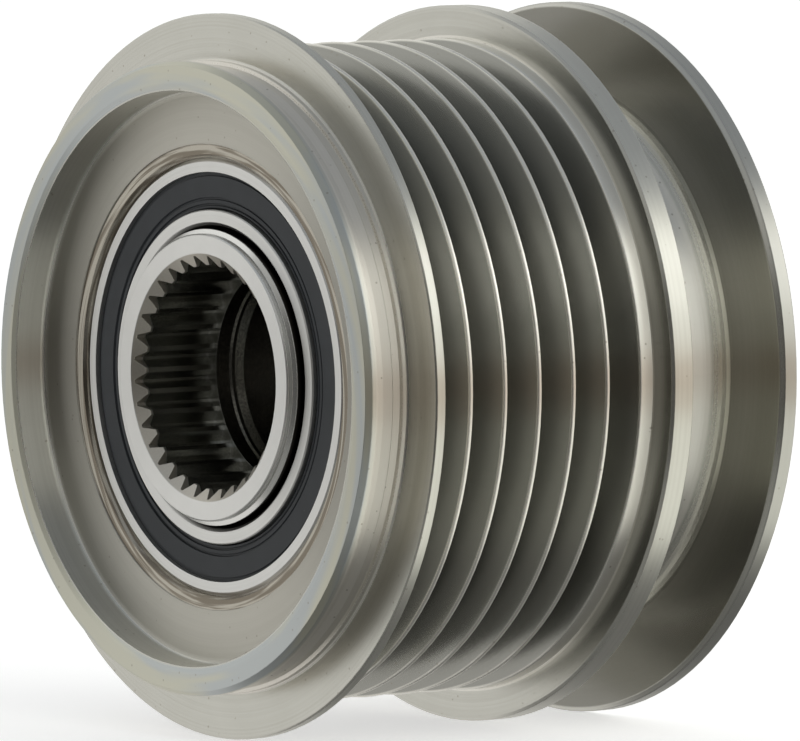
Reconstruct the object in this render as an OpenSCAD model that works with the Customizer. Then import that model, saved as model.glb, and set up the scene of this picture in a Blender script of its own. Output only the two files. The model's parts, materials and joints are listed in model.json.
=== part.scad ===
// One-way clutch pulley for a belt-driven alternator.
// The axis is Y. The front face looks along -Y and the rear along +Y.
// The origin is the centre of the hub's rear seat face.
// Stations are distances along the axis, counted rearwards from the front rim face.

/* [Belt track] */
// Number of belt grooves
groove_count = 6; // [4:1:8]
// Radius over the rib tips
rib_r = 27.8; // [27.4:0.1:28.2]
// Width of the plain land beside each outer rib tip
track_land = 1.1; // [0.8:0.1:1.6]
// Rounding radius of the rib tips
tip_round = 0.25; // [0.2:0.05:0.3]
// Rounding radius of the groove roots
root_round = 0.4; // [0.3:0.05:0.5]

/* [Pulley shell] */
// Radius of the two belt flanges
flange_r = 30.55; // [30:0.05:31.5]
// Width of the front belt flange
front_flange_w = 1.0; // [0.8:0.1:1.6]
// Width of the rear belt flange
rear_flange_w = 2.2; // [1.6:0.1:3]
// Radius of the rear disc
disc_r = 30.5; // [30:0.1:32]
// Thickness of the rear disc
disc_w = 1.8; // [1.4:0.1:2.4]
// Width of the neck between the rear flange and the disc
neck_w = 9.4; // [8:0.2:12]
// Radius of the neck's floor
neck_r = 22.0; // [21.6:0.1:23]
// Fillet radius at both ends of the neck
neck_fillet = 1.8; // [1:0.1:2.4]

/* [Front collar] */
// Outer radius of the collar
collar_r = 26.65; // [26.3:0.05:27]
// Inner radius of the collar
collar_bore_r = 24.2; // [24:0.1:24.8]
// Depth of the recess inside the collar
recess_depth = 3.1; // [2.6:0.1:3.1]
// Radius of the cap groove around the collar
cap_groove_r = 26.15; // [25.8:0.05:26.25]

/* [Bearings] */
// Bore radius of the bearings
bearing_bore_r = 12.5; // [12.5]
// Outer radius of the bearings
bearing_outer_r = 18.5; // [18.5]
// Width of each bearing
bearing_w = 7; // [7]
// Radius of each ball
ball_r = 1.75; // [1.7:0.01:1.76]
// Number of balls in each bearing
ball_count = 16; // [12:1:17]

/* [Hub] */
// Number of teeth in the tool serration
tooth_count = 33; // [24:1:36]
// Radius of the serration's valleys
serration_outer_r = 10.25; // [10:0.05:10.4]
// Radius of the serration's tooth tips
serration_inner_r = 9.45; // [9.3:0.05:9.6]
// Depth of the serration from the hub's front face
serration_length = 7.8; // [6:0.2:9]
// Wall radius of the threaded hole for the alternator shaft
thread_r = 7.19; // [7:0.01:7.3]
// Radius of the pilot bore for the alternator shaft
pilot_r = 8.5; // [8.3:0.05:8.55]
// Length of the pilot bore
pilot_length = 12.5; // [10:0.5:14]

/* [Clutch] */
// Number of clutch rollers
roller_count = 10; // [10]
// Radius of each clutch roller
roller_r = 1.5; // [1.45:0.01:1.5]
// Turn of the rollers from the middle of their flats, in degrees
roller_lead = 4.8; // [4:0.1:4.8]

/* [Hidden] */
$fn = 128;
eps = 0.5;
press_gap = 0.01;
rib_pitch = 3.56;
flank_angle = 20;

// Stations along the axis
front_flange_s = 4.15;
track_s = front_flange_s + front_flange_w;
first_tip_s = track_s + track_land;
track_end_s = track_s + 2 * track_land + groove_count * rib_pitch;
neck_s = track_end_s + rear_flange_w;
disc_s = neck_s + neck_w;
disc_end_s = disc_s + disc_w;
hub_front_s = 2.4;
hub_stand_proud = 0.4;
hub_end_s = disc_end_s + hub_stand_proud;
front_bearing_s = 3.55;
rear_bearing_s = disc_end_s - 1.3 - bearing_w;
end_gap = 0.02;
clutch_s = front_bearing_s + bearing_w + end_gap;
clutch_end_s = rear_bearing_s - end_gap;

// Bearing radii
ball_pitch_r = (bearing_bore_r + bearing_outer_r) / 2;
raceway_r = ball_r + 0.02;
inner_land_r = 14.1;
outer_land_r = 16.95;
seal_seat_r = 17.27;
seal_groove_r = 17.45;

// Clutch sizes
clutch_ring_bore_r = 16.5;
cam_flat_r = 13.39;
cam_corner_r = cam_flat_r / cos(180 / roller_count);
roller_centre_r = 14.96;
spacer_w = 1.9;
spacer_r = 14.0;
cage_ring_w = 1.5;
cage_inner_r = 14.2;
cage_outer_r = 16.3;
cage_bar_half_angle = 6.8;
cam_s = clutch_s + spacer_w + end_gap;
cam_end_s = clutch_end_s - spacer_w - end_gap;
cage_s = cam_s + 0.1;
cage_end_s = cam_end_s - 0.1;
roller_s = cage_s + cage_ring_w + 0.15;
roller_end_s = cage_end_s - cage_ring_w - 0.15;
pocket_pitch = 360 / roller_count;

// Moves a shape drawn along Z so that it runs along Y, with Z = 0 at the station
module at_station(s) {
    translate([0, s - hub_end_s, 0]) rotate([-90, 0, 0]) children();
}

// Turns a profile of [station, radius] points around the axis
module turned(profile, s = 0) {
    at_station(s) rotate_extrude() polygon([for (p = profile) [p[1], p[0]]]);
}

// Extrudes a flat outline along the axis between two stations
module along_axis(s_from, s_to) {
    at_station(s_from) linear_extrude(height = s_to - s_from) children();
}

// Repeats a shape around the axis
module around_axis(count) {
    for (i = [0 : count - 1]) rotate([0, i * 360 / count, 0]) children();
}

// Points on an arc of [station, radius] points; angle 0 points outwards from the axis
function arc(s, r, round_r, from, to, steps) =
    [for (i = [0 : steps]) let (a = from + (to - from) * i / steps) [s + round_r * sin(a), r + round_r * cos(a)]];

// ---- Pulley shell ----

flank_tangent = 90 - flank_angle;
round_sum = tip_round + root_round;
flank_length = (rib_pitch / 2 - round_sum * sin(flank_tangent)) / sin(flank_angle);
groove_depth = flank_length * cos(flank_angle) + round_sum * (1 - cos(flank_tangent));

// Rounded rib tip, the whole arc or only its front or rear half
function rib_tip(s, from, to) = arc(s, rib_r - tip_round, tip_round, from, to, 6);

// Rounded root of one groove
function groove_root(s) =
    arc(s, rib_r - groove_depth + root_round, root_round, 180 + flank_tangent, 180 - flank_tangent, 4);

// Ribs and grooves from the front flange to the rear flange
function belt_profile() = concat(
    [[track_s, rib_r]],
    rib_tip(first_tip_s, 0, flank_tangent),
    [for (i = [0 : groove_count - 1]) each concat(
        groove_root(first_tip_s + (i + 0.5) * rib_pitch),
        rib_tip(first_tip_s + (i + 1) * rib_pitch, -flank_tangent, i == groove_count - 1 ? 0 : flank_tangent)
    )],
    [[track_end_s, rib_r]]
);

// Inner bevel of the rim face, and its outer chamfer
rim_bevel_depth = 0.15;
rim_bevel_w = 0.6;
rim_chamfer_depth = 0.5;
rim_chamfer_w = 0.35;
// Cap groove: front wall, level floor, rising floor, and a step up to its rear wall
groove_wall_s = 1.12;
groove_wall_w = 0.13;
groove_level_end_s = 1.95;
groove_rise_end_s = 2.75;
groove_rise = 0.22;
groove_step_w = 0.1;
groove_step = 0.13;
groove_step_end_s = 3.55;
// Land and corner between the cap groove and the front flange
collar_land_drop = 0.05;
collar_land_end_s = 4.0;
collar_corner = 0.15;

// Rim, chamfers and cap groove of the front collar, up to the front flange
function collar_profile() = [
    [rim_bevel_depth, collar_bore_r],
    [0, collar_bore_r + rim_bevel_w],
    [0, collar_r - rim_chamfer_w],
    [rim_chamfer_depth, collar_r],
    [groove_wall_s, collar_r],
    [groove_wall_s + groove_wall_w, cap_groove_r],
    [groove_level_end_s, cap_groove_r],
    [groove_rise_end_s, cap_groove_r + groove_rise],
    [groove_rise_end_s + groove_step_w, cap_groove_r + groove_step],
    [groove_step_end_s, cap_groove_r + groove_step],
    [groove_step_end_s + groove_step_w, collar_r - collar_land_drop],
    [collar_land_end_s, collar_r - collar_land_drop],
    [front_flange_s, collar_r + collar_corner],
];

edge = 0.12;
disc_front_chamfer_r = 0.35;
disc_front_chamfer_s = 0.4;
rear_chamfer = 0.3;

function front_flange_profile() = [
    [front_flange_s, flange_r - edge],
    [front_flange_s + edge, flange_r],
    [track_s - edge, flange_r],
    [track_s, flange_r - edge],
];

function rear_flange_profile() = [
    [track_end_s, flange_r - 2 * edge],
    [track_end_s + 2 * edge, flange_r],
    [neck_s - edge, flange_r],
    [neck_s, flange_r - edge],
];

function neck_profile() = concat(
    arc(neck_s + neck_fillet, neck_r + neck_fillet, neck_fillet, 270, 180, 8),
    arc(disc_s - neck_fillet, neck_r + neck_fillet, neck_fillet, 180, 90, 8)
);

function disc_profile() = [
    [disc_s, disc_r - disc_front_chamfer_r],
    [disc_s + disc_front_chamfer_s, disc_r],
    [disc_end_s - rear_chamfer, disc_r],
    [disc_end_s, disc_r - rear_chamfer],
];

rear_recess_r = 23.4;
rear_recess_depth = 0.9;
rear_recess_taper = 0.2;
rear_mouth_w = 0.35;
rear_recess_s = disc_end_s - rear_recess_depth;

// Stepped recess and bore mouth at the rear
function rear_face_profile() = [
    [disc_end_s, rear_recess_r + rear_chamfer],
    [disc_end_s - rear_chamfer, rear_recess_r],
    [rear_recess_s, rear_recess_r - rear_recess_taper],
    [rear_recess_s, bearing_outer_r + rear_mouth_w],
    [rear_recess_s - rear_chamfer, bearing_outer_r],
];

recess_fillet = 0.5;
recess_step = 0.12;
recess_step_r = 19.6;
recess_step_w = 0.05;
mouth_from = 0.3;
mouth_to = 0.05;
mouth_w = 0.25;

// Bore mouth, stepped floor and filleted corner of the front recess
function front_recess_profile() = [
    [front_bearing_s - mouth_to, bearing_outer_r],
    [front_bearing_s - mouth_from, bearing_outer_r + mouth_w],
    [recess_depth + recess_step, recess_step_r],
    [recess_depth, recess_step_r + recess_step_w],
    each arc(recess_depth - recess_fillet, collar_bore_r - recess_fillet, recess_fillet, 90, 0, 5),
];

module pulley_shell() {
    color("silver") turned(concat(
        collar_profile(),
        front_flange_profile(),
        belt_profile(),
        rear_flange_profile(),
        neck_profile(),
        disc_profile(),
        rear_face_profile(),
        front_recess_profile()
    ));
}

// ---- Sealed ball bearings ----
// Depths inside a bearing count from its front face

ring_chamfer = 0.35;
bore_chamfer = 0.5;
seal_groove_from = 0.6;
seal_groove_to = 1.1;
seal_groove_chamfer_s = 0.15;
seal_groove_chamfer_r = 0.25;
inner_ring_edge = 0.1;
bore_chamfer_extra = 0.05;

function outer_ring_half(w) = [
    [w / 2, outer_land_r],
    [seal_groove_to + seal_groove_chamfer_s, outer_land_r],
    [seal_groove_to, outer_land_r + seal_groove_chamfer_r],
    [seal_groove_to, seal_groove_r],
    [seal_groove_from, seal_groove_r],
    [seal_groove_from, seal_seat_r],
    [0, seal_seat_r],
    [0, bearing_outer_r - press_gap - ring_chamfer],
    [ring_chamfer, bearing_outer_r - press_gap],
    [w / 2, bearing_outer_r - press_gap],
];

function inner_ring_half(w) = [
    [w / 2, bearing_bore_r],
    [bore_chamfer, bearing_bore_r],
    [0, bearing_bore_r + bore_chamfer + bore_chamfer_extra],
    [0, inner_land_r - inner_ring_edge],
    [inner_ring_edge, inner_land_r],
    [w / 2, inner_land_r],
];

// Rear half of a profile, as the mirror image of its front half
function mirrored(profile, w) =
    [for (i = [len(profile) - 1 : -1 : 0]) [w - profile[i][0], profile[i][1]]];

module ring_with_raceway(half, s) {
    difference() {
        turned(concat(half, mirrored([for (i = [1 : len(half) - 2]) half[i]], bearing_w)), s);
        at_station(s + bearing_w / 2) rotate_extrude() translate([ball_pitch_r, 0]) circle(r = raceway_r);
    }
}

module bearing_outer_ring(s) {
    color("gainsboro") ring_with_raceway(outer_ring_half(bearing_w), s);
}

module bearing_inner_ring(s) {
    color("gainsboro") ring_with_raceway(inner_ring_half(bearing_w), s);
}

module bearing_balls(s) {
    color("lightgray")
    around_axis(ball_count)
    translate([ball_pitch_r, s + bearing_w / 2 - hub_end_s, 0]) sphere(r = ball_r);
}

ball_cage_r_in = 14.9;
ball_cage_r_out = 16.1;
ball_cage_open = 0.6;
ball_cage_back = 2.2;
ball_play = 0.06;

// Snap cage: a ring behind the balls with a round pocket for each ball, open at the front
module bearing_cage(s) {
    mid_s = s + bearing_w / 2;
    color("darkolivegreen")
    difference() {
        along_axis(mid_s - ball_cage_open, mid_s + ball_cage_back) difference() {
            circle(r = ball_cage_r_out);
            circle(r = ball_cage_r_in);
        }
        around_axis(ball_count)
        translate([ball_cage_r_in / 2, mid_s - hub_end_s, 0]) rotate([0, 90, 0])
            cylinder(r = ball_r + ball_play, h = ball_cage_r_in);
    }
}

lip_gap = 0.06;

// Moulded rubber of a seal, as [depth, radius] from the bearing's face
function seal_profile() = [
    [0.45, seal_seat_r - 0.02],
    [0.45, 16.95],
    [0.30, 16.90],
    [0.30, 15.15],
    [0.50, 15.10],
    [0.50, 14.95],
    [0.38, 14.90],
    [0.38, 14.62],
    [0.55, 14.58],
    [0.55, 14.45],
    [0.42, 14.40],
    [0.42, 14.24],
    [0.60, inner_land_r + lip_gap],
    [0.78, inner_land_r + lip_gap],
    [0.95, 14.45],
    [0.75, 14.70],
    [0.75, 17.02],
    [1.05, 17.15],
    [1.05, seal_groove_r - 0.03],
    [0.65, seal_groove_r - 0.03],
    [0.65, seal_seat_r - 0.02],
];

function seal_core_profile() = [
    [0.76, 14.90],
    [0.76, 16.85],
    [1.00, 16.85],
    [1.00, 14.90],
];

function from_rear(profile) = [for (p = profile) [bearing_w - p[0], p[1]]];

module front_seal(s) {
    color("dimgray") turned(seal_profile(), s);
}

module rear_seal(s) {
    color("dimgray") turned(from_rear(seal_profile()), s);
}

module front_seal_core(s) {
    color("slategray") turned(seal_core_profile(), s);
}

module rear_seal_core(s) {
    color("slategray") turned(from_rear(seal_core_profile()), s);
}

// ---- Hub ----

hub_r = bearing_bore_r - press_gap;
hub_mouth_w = 0.22;
hub_mouth_r = serration_outer_r + hub_mouth_w;
lead_in_slope = 0.85;
shoulder_s = hub_front_s + serration_length;
shoulder_drop = 0.5;
shoulder_r = serration_inner_r - shoulder_drop;
shoulder_length = 1.35;
step_s = shoulder_s + shoulder_length;
step_drop = 0.15;
step_r = shoulder_r - step_drop;
step_from = 0.2;
step_to = 0.5;
relief_setback = 2.5;
relief_s = shoulder_s + relief_setback;
relief_r = 8.4;
relief_length = 4.0;
relief_end_s = relief_s + relief_length;
thread_chamfer = relief_r - thread_r;
pilot_chamfer = 0.9;
pilot_edge_s = 0.5;
pilot_edge_r = 0.1;
hub_end_chamfer = 0.5;
nose_edge = 0.12;
nose_length = 0.55;
nose_end = 0.75;
pilot_s = hub_end_s - pilot_length;
nose_r = 12.1;
valley_half = 0.07;
tip_half = 0.12;

// Outline of the tool serration, with a narrow flat in each valley and on each tooth tip
function serration_outline() =
    [for (i = [0 : tooth_count - 1]) let (p = 360 / tooth_count, a = i * p)
        each [
            for (q = [
                [serration_outer_r, a - valley_half * p],
                [serration_outer_r, a + valley_half * p],
                [serration_inner_r, a + (0.5 - tip_half) * p],
                [serration_inner_r, a + (0.5 + tip_half) * p],
            ]) [q[0] * cos(q[1]), q[0] * sin(q[1])]
        ]
    ];

module hub_sleeve() {
    color("silver")
    difference() {
        turned([
            [hub_front_s, hub_mouth_r],
            [hub_front_s, nose_r - nose_edge],
            [hub_front_s + nose_edge, nose_r],
            [hub_front_s + nose_length, nose_r],
            [hub_front_s + nose_end, hub_r],
            [hub_end_s - hub_end_chamfer, hub_r],
            [hub_end_s, hub_r - hub_end_chamfer],
            [hub_end_s, pilot_r + hub_end_chamfer],
            [hub_end_s - hub_end_chamfer, pilot_r],
            [pilot_s, pilot_r],
            [pilot_s - pilot_edge_s, pilot_r - pilot_edge_r],
            [pilot_s - pilot_edge_s - pilot_chamfer, thread_r],
            [relief_end_s + thread_chamfer, thread_r],
            [relief_end_s, relief_r],
            [relief_s, relief_r],
            [step_s + step_to, step_r],
            [step_s + step_from, step_r],
            [step_s, shoulder_r],
            [hub_front_s + (hub_mouth_r - shoulder_r) * lead_in_slope, shoulder_r],
        ]);
        along_axis(hub_front_s - eps, shoulder_s) polygon(serration_outline());
    }
}

// ---- Roller clutch ----

clutch_ring_chamfer = 0.4;
clutch_bore_chamfer = 0.3;
clutch_ring_outer_r = bearing_outer_r - press_gap;

module clutch_spacer(s) {
    color("lightsteelblue") turned([
        [s, bearing_bore_r],
        [s, spacer_r],
        [s + spacer_w, spacer_r],
        [s + spacer_w, bearing_bore_r],
    ]);
}

// Ring with a flat ramp for each roller
module clutch_cam_ring() {
    color("lightsteelblue") along_axis(cam_s, cam_end_s) difference() {
        rotate(180 / roller_count) circle(r = cam_corner_r, $fn = roller_count);
        circle(r = bearing_bore_r);
    }
}

module clutch_outer_ring() {
    color("lightsteelblue") turned([
        [clutch_s, clutch_ring_bore_r + clutch_bore_chamfer],
        [clutch_s, clutch_ring_outer_r - clutch_ring_chamfer],
        [clutch_s + clutch_ring_chamfer, clutch_ring_outer_r],
        [clutch_end_s - clutch_ring_chamfer, clutch_ring_outer_r],
        [clutch_end_s, clutch_ring_outer_r - clutch_ring_chamfer],
        [clutch_end_s, clutch_ring_bore_r + clutch_bore_chamfer],
        [clutch_end_s - clutch_bore_chamfer, clutch_ring_bore_r],
        [clutch_s + clutch_bore_chamfer, clutch_ring_bore_r],
    ]);
}

module clutch_rollers() {
    color("lightgray") around_axis(roller_count) rotate([0, roller_lead, 0])
    translate([roller_centre_r, 0, 0]) at_station(roller_s) cylinder(r = roller_r, h = roller_end_s - roller_s);
}

// Wedge of a flat ring between two angles, cut off straight inside and outside
module wedge(r_from, r_to, half_angle) {
    spread = tan(half_angle);
    polygon([
        [r_from, -r_from * spread],
        [r_to, -r_to * spread],
        [r_to, r_to * spread],
        [r_from, r_from * spread]
    ]);
}

module clutch_cage() {
    color("saddlebrown") difference() {
        along_axis(cage_s, cage_end_s) difference() {
            circle(r = cage_outer_r);
            circle(r = cage_inner_r);
        }
        around_axis(roller_count) along_axis(cage_s + cage_ring_w, cage_end_s - cage_ring_w)
            wedge(cage_inner_r / 2, cage_outer_r * 1.5, pocket_pitch / 2 - cage_bar_half_angle);
    }
}

spring_w = 5;
spring_half_thickness = 0.24;
spring_half_height = 0.75;
spring_folds = 5;
spring_cage_gap = 0.9;
spring_roller_gap = 0.25;
spring_from = pocket_pitch / 2 - cage_bar_half_angle - spring_cage_gap;
spring_to = asin(roller_r / roller_centre_r) - roller_lead + spring_roller_gap;

// Zigzag of thin strip that pushes a roller up its ramp; x is radial and y runs around the axis
module spring_strip() {
    degree = roller_centre_r * PI / 180;
    step = (spring_from - spring_to) * degree / spring_folds;
    path = [for (i = [0 : spring_folds]) [
        roller_centre_r + (i % 2 == 0 ? -spring_half_height : spring_half_height),
        -spring_from * degree + i * step
    ]];
    polygon(concat(
        [for (p = path) [p[0] + spring_half_thickness, p[1]]],
        [for (i = [len(path) - 1 : -1 : 0]) [path[i][0] - spring_half_thickness, path[i][1]]]
    ));
}

module clutch_springs() {
    mid_s = (roller_s + roller_end_s) / 2;
    color("lightsteelblue") around_axis(roller_count)
        along_axis(mid_s - spring_w / 2, mid_s + spring_w / 2) spring_strip();
}

// ---- Nodes ----

pulley_shell();
bearing_outer_ring(front_bearing_s);  // front_bearing_outer_ring
bearing_inner_ring(front_bearing_s);  // front_bearing_inner_ring
bearing_balls(front_bearing_s);  // front_bearing_balls
bearing_cage(front_bearing_s);  // front_bearing_cage
front_seal(front_bearing_s);  // front_bearing_front_seal
front_seal_core(front_bearing_s);  // front_bearing_front_seal_core
rear_seal(front_bearing_s);  // front_bearing_rear_seal
rear_seal_core(front_bearing_s);  // front_bearing_rear_seal_core
bearing_outer_ring(rear_bearing_s);  // rear_bearing_outer_ring
bearing_inner_ring(rear_bearing_s);  // rear_bearing_inner_ring
bearing_balls(rear_bearing_s);  // rear_bearing_balls
bearing_cage(rear_bearing_s);  // rear_bearing_cage
front_seal(rear_bearing_s);  // rear_bearing_front_seal
front_seal_core(rear_bearing_s);  // rear_bearing_front_seal_core
rear_seal(rear_bearing_s);  // rear_bearing_rear_seal
rear_seal_core(rear_bearing_s);  // rear_bearing_rear_seal_core
hub_sleeve();
clutch_spacer(clutch_s);  // front_clutch_spacer
clutch_spacer(clutch_end_s - spacer_w);  // rear_clutch_spacer
clutch_cam_ring();
clutch_outer_ring();
clutch_rollers();
clutch_cage();
clutch_springs();
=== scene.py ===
import json
import math

import bpy
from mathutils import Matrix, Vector


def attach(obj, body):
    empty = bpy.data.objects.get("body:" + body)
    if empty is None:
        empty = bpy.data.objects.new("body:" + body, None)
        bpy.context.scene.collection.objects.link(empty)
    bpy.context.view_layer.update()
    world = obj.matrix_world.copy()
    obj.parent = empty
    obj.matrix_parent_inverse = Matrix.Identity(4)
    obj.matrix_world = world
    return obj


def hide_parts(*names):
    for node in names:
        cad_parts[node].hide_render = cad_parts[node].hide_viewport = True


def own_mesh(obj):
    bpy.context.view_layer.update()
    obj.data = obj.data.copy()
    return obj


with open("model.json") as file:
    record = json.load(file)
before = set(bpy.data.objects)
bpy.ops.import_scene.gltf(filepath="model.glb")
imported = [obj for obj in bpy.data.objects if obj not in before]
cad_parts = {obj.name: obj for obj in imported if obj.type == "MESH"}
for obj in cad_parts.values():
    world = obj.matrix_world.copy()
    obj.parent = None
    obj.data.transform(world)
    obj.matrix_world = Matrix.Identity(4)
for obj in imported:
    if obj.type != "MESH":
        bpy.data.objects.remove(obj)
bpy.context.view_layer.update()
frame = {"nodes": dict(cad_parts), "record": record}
nodes = frame["nodes"]

MM = 0.001
PER_METRE = 1000.0
# Distance from the front rim face to the hub's rear seat face, which lies at y = 0
LENGTH = 42.51 * MM


# ---------------------------------------------------------------- shader helpers

# A quarter turn of the anisotropic highlight, which spreads it across the turning lines
ACROSS_THE_LINES = 0.25
# How fast each cell of specks() fades in
SPECK_FADE = 0.02


class Shader:
    """A node material with short calls for its maths."""

    def __init__(self, name):
        self.material = bpy.data.materials.new(name)
        self.material.use_nodes = True
        self.tree = self.material.node_tree
        self.bsdf = next(n for n in self.tree.nodes if n.type == "BSDF_PRINCIPLED")

    def node(self, kind, **values):
        n = self.tree.nodes.new(kind)
        for key, value in values.items():
            setattr(n, key, value)
        return n

    def feed(self, socket, value):
        if isinstance(value, bpy.types.NodeSocket):
            self.tree.links.new(value, socket)
        else:
            socket.default_value = value

    def math(self, operation, *values):
        n = self.node("ShaderNodeMath", operation=operation)
        for socket, value in zip(n.inputs, values):
            self.feed(socket, value)
        return n.outputs[0]

    def mul(self, a, b):
        return self.math("MULTIPLY", a, b)

    def add(self, a, b):
        return self.math("ADD", a, b)

    def sub(self, a, b):
        return self.math("SUBTRACT", a, b)

    def ramp(self, value, low, high, out_low=0.0, out_high=1.0):
        """Smooth step of a value from low to high."""
        n = self.node("ShaderNodeMapRange", interpolation_type="SMOOTHSTEP")
        for socket, v in zip(n.inputs, (value, low, high, out_low, out_high)):
            self.feed(socket, v)
        return n.outputs[0]

    def band(self, value, low, high, soft):
        """1 between low and high, falling to 0 over soft on each side."""
        rise = self.ramp(value, low - soft, low + soft)
        fall = self.ramp(value, high - soft, high + soft, 1.0, 0.0)
        return self.mul(rise, fall)

    def mix(self, factor, a, b):
        n = self.node("ShaderNodeMix", data_type="RGBA")
        self.feed(n.inputs[0], factor)
        for socket, v in ((n.inputs[6], a), (n.inputs[7], b)):
            self.feed(socket, v if isinstance(v, bpy.types.NodeSocket) else (*v, 1.0))
        return n.outputs[2]

    def position(self):
        """Station from the front rim, radius, and the cosine and sine of the angle, in millimetres."""
        if not hasattr(self, "_position"):
            coords = self.node("ShaderNodeTexCoord").outputs["Object"]
            split = self.node("ShaderNodeSeparateXYZ")
            self.feed(split.inputs[0], coords)
            x, y, z = (self.mul(split.outputs[i], PER_METRE) for i in range(3))
            station = self.add(y, LENGTH / MM)
            radius = self.math("SQRT", self.add(self.mul(x, x), self.mul(z, z)))
            safe = self.math("MAXIMUM", radius, 0.01)
            self._position = (
                station,
                radius,
                self.math("DIVIDE", x, safe),
                self.math("DIVIDE", z, safe),
            )
            self.coords = coords
        return self._position

    def combine(self, x, y, z):
        n = self.node("ShaderNodeCombineXYZ")
        for socket, v in zip(n.inputs, (x, y, z)):
            self.feed(socket, v)
        return n.outputs[0]

    def turned(self, per_mm, along, detail=2.0, rough=0.5):
        """Noise drawn out like turning lines; along is how fast it changes round the axis."""
        s, r, c, z = self.position()
        runout = self.add(self.mul(r, per_mm), self.mul(z, along))
        vector = self.combine(self.mul(s, per_mm), runout, self.mul(c, along))
        n = self.node("ShaderNodeTexNoise")
        self.feed(n.inputs["Vector"], vector)
        self.feed(n.inputs["Scale"], 1.0)
        self.feed(n.inputs["Detail"], detail)
        self.feed(n.inputs["Roughness"], rough)
        return n.outputs[0]

    def noise(self, per_mm, detail=2.0, rough=0.5, distort=0.0):
        """Noise that is the same in every direction."""
        self.position()
        n = self.node("ShaderNodeTexNoise")
        self.feed(n.inputs["Vector"], self.coords)
        self.feed(n.inputs["Scale"], per_mm * PER_METRE)
        self.feed(n.inputs["Detail"], detail)
        self.feed(n.inputs["Roughness"], rough)
        self.feed(n.inputs["Distortion"], distort)
        return n.outputs[0]

    def specks(self, per_mm, size, amount):
        """Small dots, each in its own cell, shown in the share of cells given by amount."""
        self.position()
        n = self.node("ShaderNodeTexVoronoi", feature="F1")
        self.feed(n.inputs["Vector"], self.coords)
        self.feed(n.inputs["Scale"], per_mm * PER_METRE)
        dot = self.ramp(n.outputs["Distance"], size * 0.6, size, 1.0, 0.0)
        split = self.node("ShaderNodeSeparateColor")
        self.feed(split.inputs[0], n.outputs["Color"])
        return self.mul(dot, self.ramp(split.outputs[0], 1.0 - amount, 1.0 - amount + SPECK_FADE))

    def zone(self, s_from, s_to, r_from, r_to, soft=0.1):
        """1 inside a ring-shaped region between two stations and two radii."""
        s, r = self.position()[:2]
        return self.mul(self.band(s, s_from, s_to, soft), self.band(r, r_from, r_to, soft))

    def rounded(self, edge):
        """The surface's normal, with its edges rounded to a radius of edge."""
        n = self.node("ShaderNodeBevel", samples=4)
        self.feed(n.inputs["Radius"], edge * MM)
        return n.outputs[0]

    def lean(self, normal, amount):
        """A normal tipped towards the front."""
        tipped = self.node("ShaderNodeVectorMath", operation="SUBTRACT")
        self.feed(tipped.inputs[0], normal)
        self.feed(tipped.inputs[1], self.combine(0.0, amount, 0.0))
        unit = self.node("ShaderNodeVectorMath", operation="NORMALIZE")
        self.feed(unit.inputs[0], tipped.outputs[0])
        return unit.outputs[0]

    def bump(self, height, distance_mm, strength=1.0, normal=None):
        n = self.node("ShaderNodeBump")
        self.feed(n.inputs["Height"], height)
        self.feed(n.inputs["Distance"], distance_mm * MM)
        self.feed(n.inputs["Strength"], strength)
        if normal is not None:
            self.feed(n.inputs["Normal"], normal)
        return n.outputs[0]

    def surface(self, colour, roughness, normal, metallic=1.0, anisotropic=0.0):
        b = self.bsdf.inputs
        self.feed(b["Base Color"], colour)
        self.feed(b["Roughness"], roughness)
        self.feed(b["Metallic"], metallic)
        self.feed(b["Normal"], normal)
        if anisotropic:
            b["Anisotropic"].default_value = anisotropic
            b["Anisotropic Rotation"].default_value = ACROSS_THE_LINES
            tangent = self.node("ShaderNodeTangent", direction_type="RADIAL", axis="Y")
            self.feed(b["Tangent"], tangent.outputs[0])


# ---------------------------------------------------------------- materials

# Radii of the edges as the light sees them, in millimetres
TURNED_EDGE = 0.08
GROUND_EDGE = 0.06
# How far the normals of cylinders tip towards the front, and how much more on the neck
FEED_LEAN = 0.21
NECK_LEAN = 0.26
# Painted shade for the gaps between the bearing bores and the hub
GAP_SHADE = (0.03, 0.027, 0.024)


def shade(tint, factor):
    """A colour made darker by a factor."""
    return tuple(v * factor for v in tint)


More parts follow.
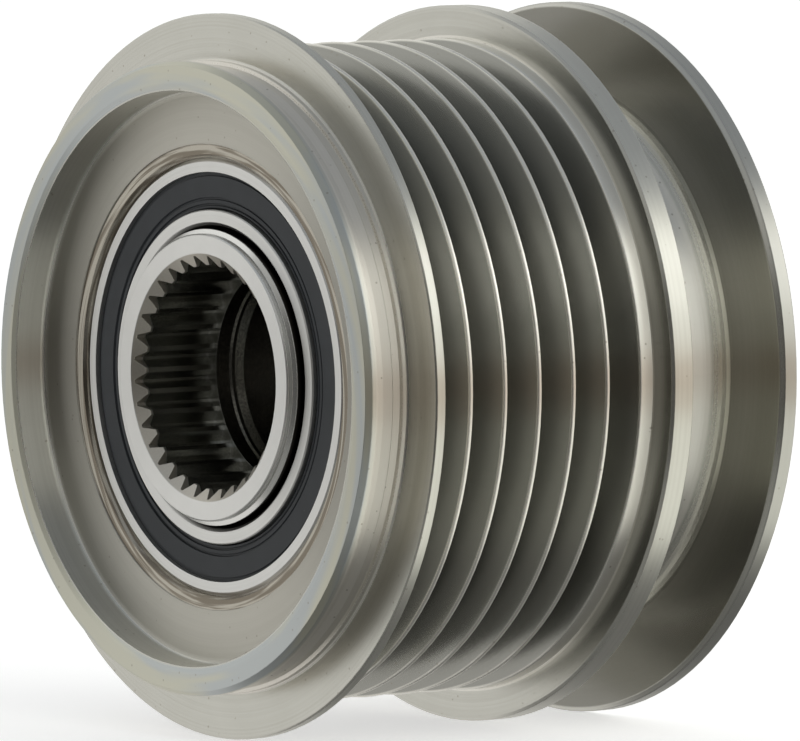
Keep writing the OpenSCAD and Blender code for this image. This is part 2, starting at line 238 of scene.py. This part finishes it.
def shell_steel():
    m = Shader("shell_turned_steel")
    lines = m.turned(5.0, 0.5, 3.0, 0.6)
    coarse = m.turned(1.6, 1.2, 2.0)
    grain = m.noise(7.0, 3.0, 0.6)
    patches = m.noise(0.25, 3.0, 0.55, 0.4)
    # Regions that look different, as station and radius limits in millimetres
    rim = m.zone(-0.5, 0.6, 24.3, 27.0)
    collar = m.zone(0.9, 4.1, 26.0, 26.75)
    recess_floor = m.zone(2.9, 3.15, 19.6, 24.0, 0.03)
    mouth_ring = m.zone(3.16, 4.0, 18.0, 19.7, 0.03)
    groove_flank_shade = m.zone(6.3, 28.3, 23.0, 27.62, 0.05)
    rib_tip_highlight = m.zone(6.0, 28.75, 27.7, 28.0, 0.04)
    neck_floor = m.zone(36.0, 39.3, 21.0, 22.3, 0.15)
    disc_face_shade = m.zone(40.1, 40.36, 23.5, 30.1)
    disc_land_shade = m.zone(40.6, 42.0, 30.3, 30.7, 0.05)
    # Steel, from a slow mottling and fine turning lines
    colour = m.mix(patches, (0.62, 0.615, 0.57), (0.69, 0.685, 0.64))
    colour = m.mix(m.mul(m.ramp(lines, 0.35, 0.65), 0.3), colour, (0.52, 0.51, 0.47))
    rim_tint = m.mix(m.ramp(m.turned(0.5, 1.5), 0.4, 0.6), (0.62, 0.615, 0.53), (0.53, 0.56, 0.57))
    colour = m.mix(rim, colour, rim_tint)
    colour = m.mix(m.mul(collar, 0.7), colour, (0.88, 0.84, 0.78))
    # Painted shade: the groove flanks between the ribs are darkened
    colour = m.mix(m.mul(groove_flank_shade, 0.85), colour, (0.33, 0.33, 0.31))
    # Painted highlight: the rib tips are lightened
    colour = m.mix(m.mul(rib_tip_highlight, 0.8), colour, (0.92, 0.90, 0.85))
    # Painted highlight: the neck floor is lightened; the same zone is also made rougher and leans
    # further below
    colour = m.mix(m.mul(neck_floor, 0.9), colour, (0.95, 0.94, 0.90))
    # Painted shade: the disc's front face is darkened, standing in for its reflection of the shaded
    # neck
    colour = m.mix(m.mul(disc_face_shade, 0.9), colour, (0.19, 0.185, 0.165))
    # Painted shade: the disc's land is dulled
    colour = m.mix(m.mul(disc_land_shade, 0.6), colour, (0.46, 0.46, 0.44))
    colour = m.mix(m.mul(recess_floor, 0.6), colour, (0.50, 0.48, 0.43))
    colour = m.mix(m.mul(m.specks(1.3, 0.16, 0.25), 0.5), colour, (0.30, 0.27, 0.22))
    mottled = m.mix(m.ramp(m.turned(3.0, 3.0, 3.0), 0.45, 0.6), (0.24, 0.21, 0.17), (0.52, 0.49, 0.43))
    colour = m.mix(mouth_ring, colour, mottled)
    # Cylinders are turned with a coarser feed than faces
    split = m.node("ShaderNodeSeparateXYZ")
    m.feed(split.inputs[0], m.node("ShaderNodeNewGeometry").outputs["Normal"])
    facing_axis = m.ramp(m.math("ABSOLUTE", split.outputs[1]), 0.35, 0.9)
    rough = m.add(m.mul(lines, 0.06), m.mul(grain, 0.05))
    rough = m.add(rough, m.add(m.mul(recess_floor, 0.20), m.mul(rim, 0.10)))
    rough = m.add(rough, m.mul(neck_floor, 0.10))
    rough = m.add(rough, m.mul(collar, 0.08))
    rough = m.add(rough, m.sub(0.28, m.mul(facing_axis, 0.13)))
    height = m.add(lines, m.mul(coarse, 0.6))
    # The normals of cylinders tip towards the front, and most on the neck
    lean = m.mul(m.sub(1.0, facing_axis), m.add(FEED_LEAN, m.mul(neck_floor, NECK_LEAN)))
    normal = m.lean(m.rounded(TURNED_EDGE), lean)
    m.surface(colour, rough, m.bump(height, 0.0015, normal=normal), anisotropic=0.85)
    return m.material


def ground_steel(name, tint, roughness, per_mm=7.0):
    m = Shader(name)
    lines = m.turned(per_mm, 0.4, 2.0)
    grain = m.noise(9.0, 2.0)
    patches = m.noise(0.4, 2.0)
    colour = m.mix(patches, shade(tint, 0.92), tint)
    colour = m.mix(m.mul(m.ramp(lines, 0.4, 0.7), 0.25), colour, shade(tint, 0.8))
    # Painted shade: the gap between the bearing bores and the hub is painted dark
    gap_shade = m.zone(3.78, 4.3, 12.0, 12.85, 0.06)
    colour = m.mix(gap_shade, colour, GAP_SHADE)
    rough = m.add(m.mul(lines, 0.08), m.mul(grain, 0.06))
    rough = m.add(rough, roughness)
    m.surface(colour, rough, m.bump(lines, 0.001, normal=m.rounded(GROUND_EDGE)), anisotropic=0.3)
    return m.material


def hub_steel():
    m = Shader("hub_ground_steel")
    lines = m.turned(6.0, 0.5, 2.0)
    grain = m.noise(6.0, 3.0)
    patches = m.noise(0.5, 2.0)
    face = m.zone(2.0, 2.46, 10.45, 13.0, 0.03)
    lead_in = m.zone(2.43, 3.5, 9.0, 10.47, 0.04)
    teeth = m.zone(3.4, 10.1, 8.0, 10.6)
    teeth_end_shade = m.zone(7.0, 10.1, 8.0, 10.6, 1.2)
    deep_bore_shade = m.zone(10.2, 43.5, 6.0, 10.6)
    gap_shade = m.zone(3.2, 4.5, 12.2, 13.0, 0.04)
    colour = m.mix(patches, (0.82, 0.82, 0.81), (0.89, 0.89, 0.88))
    bore_shade_colour = m.mix(m.ramp(grain, 0.4, 0.65), (0.11, 0.11, 0.10), (0.22, 0.21, 0.19))
    teeth_tint = m.mix(m.ramp(grain, 0.35, 0.65), (0.46, 0.47, 0.44), (0.64, 0.64, 0.59))
    colour = m.mix(lead_in, colour, m.mix(grain, (0.58, 0.55, 0.50), (0.70, 0.67, 0.61)))
    colour = m.mix(teeth, colour, teeth_tint)
    # Painted shade: the teeth darken towards their deep end
    colour = m.mix(m.mul(teeth_end_shade, 0.7), colour, (0.20, 0.20, 0.18))
    # Painted shade: the bore beyond the teeth is painted near black
    colour = m.mix(deep_bore_shade, colour, bore_shade_colour)
    # Painted shade: the hub is painted dark in the gap between it and the bearing bores
    colour = m.mix(gap_shade, colour, GAP_SHADE)
    rough = m.add(m.mul(grain, 0.08), m.mul(face, 0.22))
    rough = m.add(rough, m.add(0.18, m.mul(lead_in, 0.18)))
    m.surface(colour, rough, m.bump(lines, 0.001, normal=m.rounded(GROUND_EDGE)), anisotropic=0.3)
    return m.material


def seal_rubber():
    m = Shader("seal_moulded_rubber")
    fine = m.noise(12.0, 3.0, 0.6)
    slow = m.noise(0.5, 3.0)
    specks = m.specks(1.6, 0.10, 0.12)
    colour = m.mix(slow, (0.024, 0.027, 0.031), (0.036, 0.040, 0.046))
    colour = m.mix(m.mul(specks, 0.4), colour, (0.16, 0.16, 0.16))
    rough = m.add(m.mul(fine, 0.15), 0.50)
    normal = m.bump(fine, 0.010, 0.6)
    m.surface(colour, rough, normal, metallic=0.0)
    return m.material


def polymer(name, dark, light):
    m = Shader(name)
    grain = m.noise(5.0, 3.0, 0.6)
    slow = m.noise(0.3, 2.0)
    colour = m.mix(slow, dark, light)
    rough = m.add(m.mul(grain, 0.2), 0.4)
    m.surface(colour, rough, m.bump(grain, 0.01, 0.5), metallic=0.0)
    return m.material


def polished(name, tint):
    m = Shader(name)
    grain = m.noise(4.0, 3.0, 0.6)
    slow = m.noise(0.5, 2.0)
    colour = m.mix(slow, shade(tint, 0.9), tint)
    rough = m.add(m.mul(grain, 0.06), 0.06)
    m.surface(colour, rough, m.bump(grain, 0.001))
    return m.material


materials = {
    "shell_steel": shell_steel(),
    "hub_steel": hub_steel(),
    "bearing_steel": ground_steel("bearing_ground_steel", (0.84, 0.84, 0.83), 0.32),
    "ball_steel": polished("ball_polished_steel", (0.80, 0.80, 0.79)),
    "seal_rubber": seal_rubber(),
    "seal_core_steel": ground_steel("seal_core_pressed_steel", (0.55, 0.56, 0.57), 0.35, 3.0),
    "ball_cage_polymer": polymer("ball_cage_polyamide", (0.55, 0.52, 0.40), (0.64, 0.61, 0.50)),
    "clutch_steel": ground_steel("clutch_ground_steel", (0.56, 0.56, 0.56), 0.25, 5.0),
    "roller_steel": polished("roller_ground_steel", (0.76, 0.76, 0.76)),
    "clutch_cage_polymer": polymer("clutch_cage_polyamide", (0.12, 0.10, 0.08), (0.18, 0.15, 0.12)),
    "spring_steel": ground_steel("spring_rolled_steel", (0.50, 0.50, 0.50), 0.30, 4.0),
}
for part in frame["record"]["subparts"]:
    mesh = nodes[part["node"]].data
    mesh.materials.clear()
    mesh.materials.append(materials[part["material_slot"]])


# ---------------------------------------------------------------- clutch springs

SPRING_COUNT = 10
SPRING_PITCH_DEG = 360 / SPRING_COUNT
# Where the first spring rests on the cage, and where its free end is, counted from +X towards +Z
SPRING_FIXED_DEG = 10.3
SPRING_FREE_DEG = 1.2
# Radius of the circle through the middles of the springs
SPRING_RADIUS = 14.96 * MM


def spring_point(degrees):
    """A point on the circle through the middles of the clutch springs."""
    a = math.radians(degrees)
    return Vector((SPRING_RADIUS * math.cos(a), 0, SPRING_RADIUS * math.sin(a)))


def clutch_spring(index):
    """One spring of the clutch, cut out of the shared spring mesh and carried by the hub; the mesh
    keeps one length, though the real spring shortens along the ring as its roller comes back.
    """
    source = nodes["clutch_springs"]
    points = [source.matrix_world @ v.co for v in source.data.vertices]
    free = SPRING_FREE_DEG + index * SPRING_PITCH_DEG
    fixed = SPRING_FIXED_DEG + index * SPRING_PITCH_DEG
    middle = spring_point((free + fixed) / 2)
    reach = SPRING_RADIUS * math.radians(SPRING_PITCH_DEG) / 2
    kept = [i for i, p in enumerate(points) if (Vector((p.x, 0, p.z)) - middle).length < reach]
    place = {old: new for new, old in enumerate(kept)}
    faces = [list(polygon.vertices) for polygon in source.data.polygons]
    faces = [[place[v] for v in face] for face in faces if face[0] in place]
    mesh = bpy.data.meshes.new(f"clutch_spring_{index + 1}")
    mesh.from_pydata([points[i] for i in kept], [], faces)
    mesh.materials.append(materials["spring_steel"])
    spring = bpy.data.objects.new(mesh.name, mesh)
    bpy.context.scene.collection.objects.link(spring)
    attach(spring, "hub")
    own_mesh(spring)
    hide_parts("clutch_springs")


for number in range(SPRING_COUNT):
    clutch_spring(number)


# ---------------------------------------------------------------- camera

AZIMUTH = math.radians(-36.525)
ELEVATION = math.radians(4.457)
DISTANCE = 0.9933
FOCAL_LENGTH = 532.84
SENSOR_WIDTH = 36
# The point looked at: on the axis near the front, then to the right and up
AIM_STATION = 0.5 * MM
AIM_RIGHT = 18.10 * MM
AIM_UP = 0.70 * MM
LOOK_BACK = Vector((
    math.cos(ELEVATION) * math.cos(AZIMUTH),
    math.cos(ELEVATION) * math.sin(AZIMUTH),
    math.sin(ELEVATION),
))
RIGHT = Vector((-math.sin(AZIMUTH), math.cos(AZIMUTH), 0))
UP = LOOK_BACK.cross(RIGHT)
TARGET = Vector((0, AIM_STATION - LENGTH, 0)) + AIM_RIGHT * RIGHT + AIM_UP * UP

camera = bpy.data.objects.new("camera", bpy.data.cameras.new("camera"))
bpy.context.scene.collection.objects.link(camera)
bpy.context.scene.camera = camera
camera.data.sensor_width = SENSOR_WIDTH
camera.data.lens = FOCAL_LENGTH
camera.data.clip_start = 0.05
camera.data.clip_end = 30
camera.location = TARGET + DISTANCE * LOOK_BACK
camera.rotation_mode = "QUATERNION"
camera.rotation_quaternion = (-LOOK_BACK).to_track_quat("-Z", "Y")


# ---------------------------------------------------------------- stage and light

# The floor lies just under the belt flanges
FLOOR_Z = -30.56 * MM
FLOOR_SIZE = 8.0


def floor_plane(name, size, z):
    mesh = bpy.data.meshes.new(name)
    h = size / 2
    mesh.from_pydata([(-h, -h, z), (h, -h, z), (h, h, z), (-h, h, z)], [], [(0, 1, 2, 3)])
    plane = bpy.data.objects.new(name, mesh)
    bpy.context.scene.collection.objects.link(plane)
    return plane


def paper(name, value, glow):
    """Matt paper of a grey value that also glows a little."""
    m = bpy.data.materials.new(name)
    m.use_nodes = True
    b = next(n for n in m.node_tree.nodes if n.type == "BSDF_PRINCIPLED")
    b.inputs["Base Color"].default_value = (value, value, value, 1)
    b.inputs["Roughness"].default_value = 0.9
    b.inputs["Specular IOR Level"].default_value = 0.0
    b.inputs["Emission Color"].default_value = (1, 1, 1, 1)
    b.inputs["Emission Strength"].default_value = glow
    return m


floor = floor_plane("floor", FLOOR_SIZE, FLOOR_Z)
floor.data.materials.append(paper("floor_paper", 0.9, 0.55))
floor.visible_glossy = False


def softbox(name, azimuth, elevation, distance, width, height, power):
    """A rectangular light at a direction seen from the object; azimuth counts from +X towards +Y."""
    light = bpy.data.lights.new(name, "AREA")
    light.shape = "RECTANGLE"
    light.size = width
    light.size_y = height
    light.energy = power
    lamp = bpy.data.objects.new(name, light)
    a, e = math.radians(azimuth), math.radians(elevation)
    out = Vector((math.cos(a) * math.cos(e), math.sin(a) * math.cos(e), math.sin(e)))
    lamp.location = out * distance + Vector((0, -LENGTH / 2, 0))
    lamp.rotation_mode = "QUATERNION"
    lamp.rotation_quaternion = out.to_track_quat("Z", "Y")
    bpy.context.scene.collection.objects.link(lamp)


softbox("softbox_right", azimuth=40, elevation=28, distance=0.9, width=0.9, height=0.36, power=0.6)


class Room(Shader):
    """The light from all round, which depends on direction; the camera itself sees plain white."""

    def __init__(self, name):
        self.world = bpy.data.worlds.new(name)
        self.world.use_nodes = True
        self.tree = self.world.node_tree
        self.tree.nodes.clear()


room = Room("studio")
bpy.context.scene.world = room.world
direction = room.node("ShaderNodeSeparateXYZ")
room.feed(direction.inputs[0], room.node("ShaderNodeTexCoord").outputs["Generated"])
dx, dy, dz = direction.outputs


def facing(azimuth, low, high):
    """1 near an azimuth, which counts from +X towards +Y; low and high are cosines."""
    a = math.radians(azimuth)
    flat = room.math("SQRT", room.add(room.mul(dx, dx), room.mul(dy, dy)))
    along = room.add(room.mul(dx, math.cos(a)), room.mul(dy, math.sin(a)))
    return room.ramp(room.math("DIVIDE", along, room.math("MAXIMUM", flat, 0.001)), low, high)


# Pale walls, brighter on the right with a warm stretch at eye level, and an unlit front
light = room.mix(room.ramp(dz, -0.5, 0.5), (0.72, 0.71, 0.68), (0.80, 0.80, 0.77))
right = room.mix(room.ramp(dz, -0.02, 0.16), (0.76, 0.65, 0.54), (1.28, 1.28, 1.19))
right = room.mix(room.ramp(dz, -0.12, -0.26), right, (1.14, 1.14, 1.04))
light = room.mix(facing(25, 0.64, 0.74), light, right)
front = room.mix(room.ramp(dz, 0.20, 0.50), (0.09, 0.088, 0.083), (0.40, 0.40, 0.38))
front = room.mix(room.ramp(dz, -0.24, -0.50), front, (0.25, 0.25, 0.235))
light = room.mix(facing(-72, 0.60, 0.66), light, front)
light = room.mix(room.ramp(dz, 0.62, 0.80), light, (0.34, 0.36, 0.38))
light = room.mix(room.ramp(dz, -0.70, -0.86), light, (0.15, 0.15, 0.142))
grey = room.node("ShaderNodeBackground")
room.feed(grey.inputs[0], light)
white = room.node("ShaderNodeBackground")
white.inputs[0].default_value = (1, 1, 1, 1)
seen = room.node("ShaderNodeMixShader")
room.feed(seen.inputs[0], room.node("ShaderNodeLightPath").outputs["Is Camera Ray"])
room.feed(seen.inputs[1], grey.outputs[0])
room.feed(seen.inputs[2], white.outputs[0])
room.feed(room.node("ShaderNodeOutputWorld").inputs[0], seen.outputs[0])

bpy.context.scene.view_settings.view_transform = "Standard"
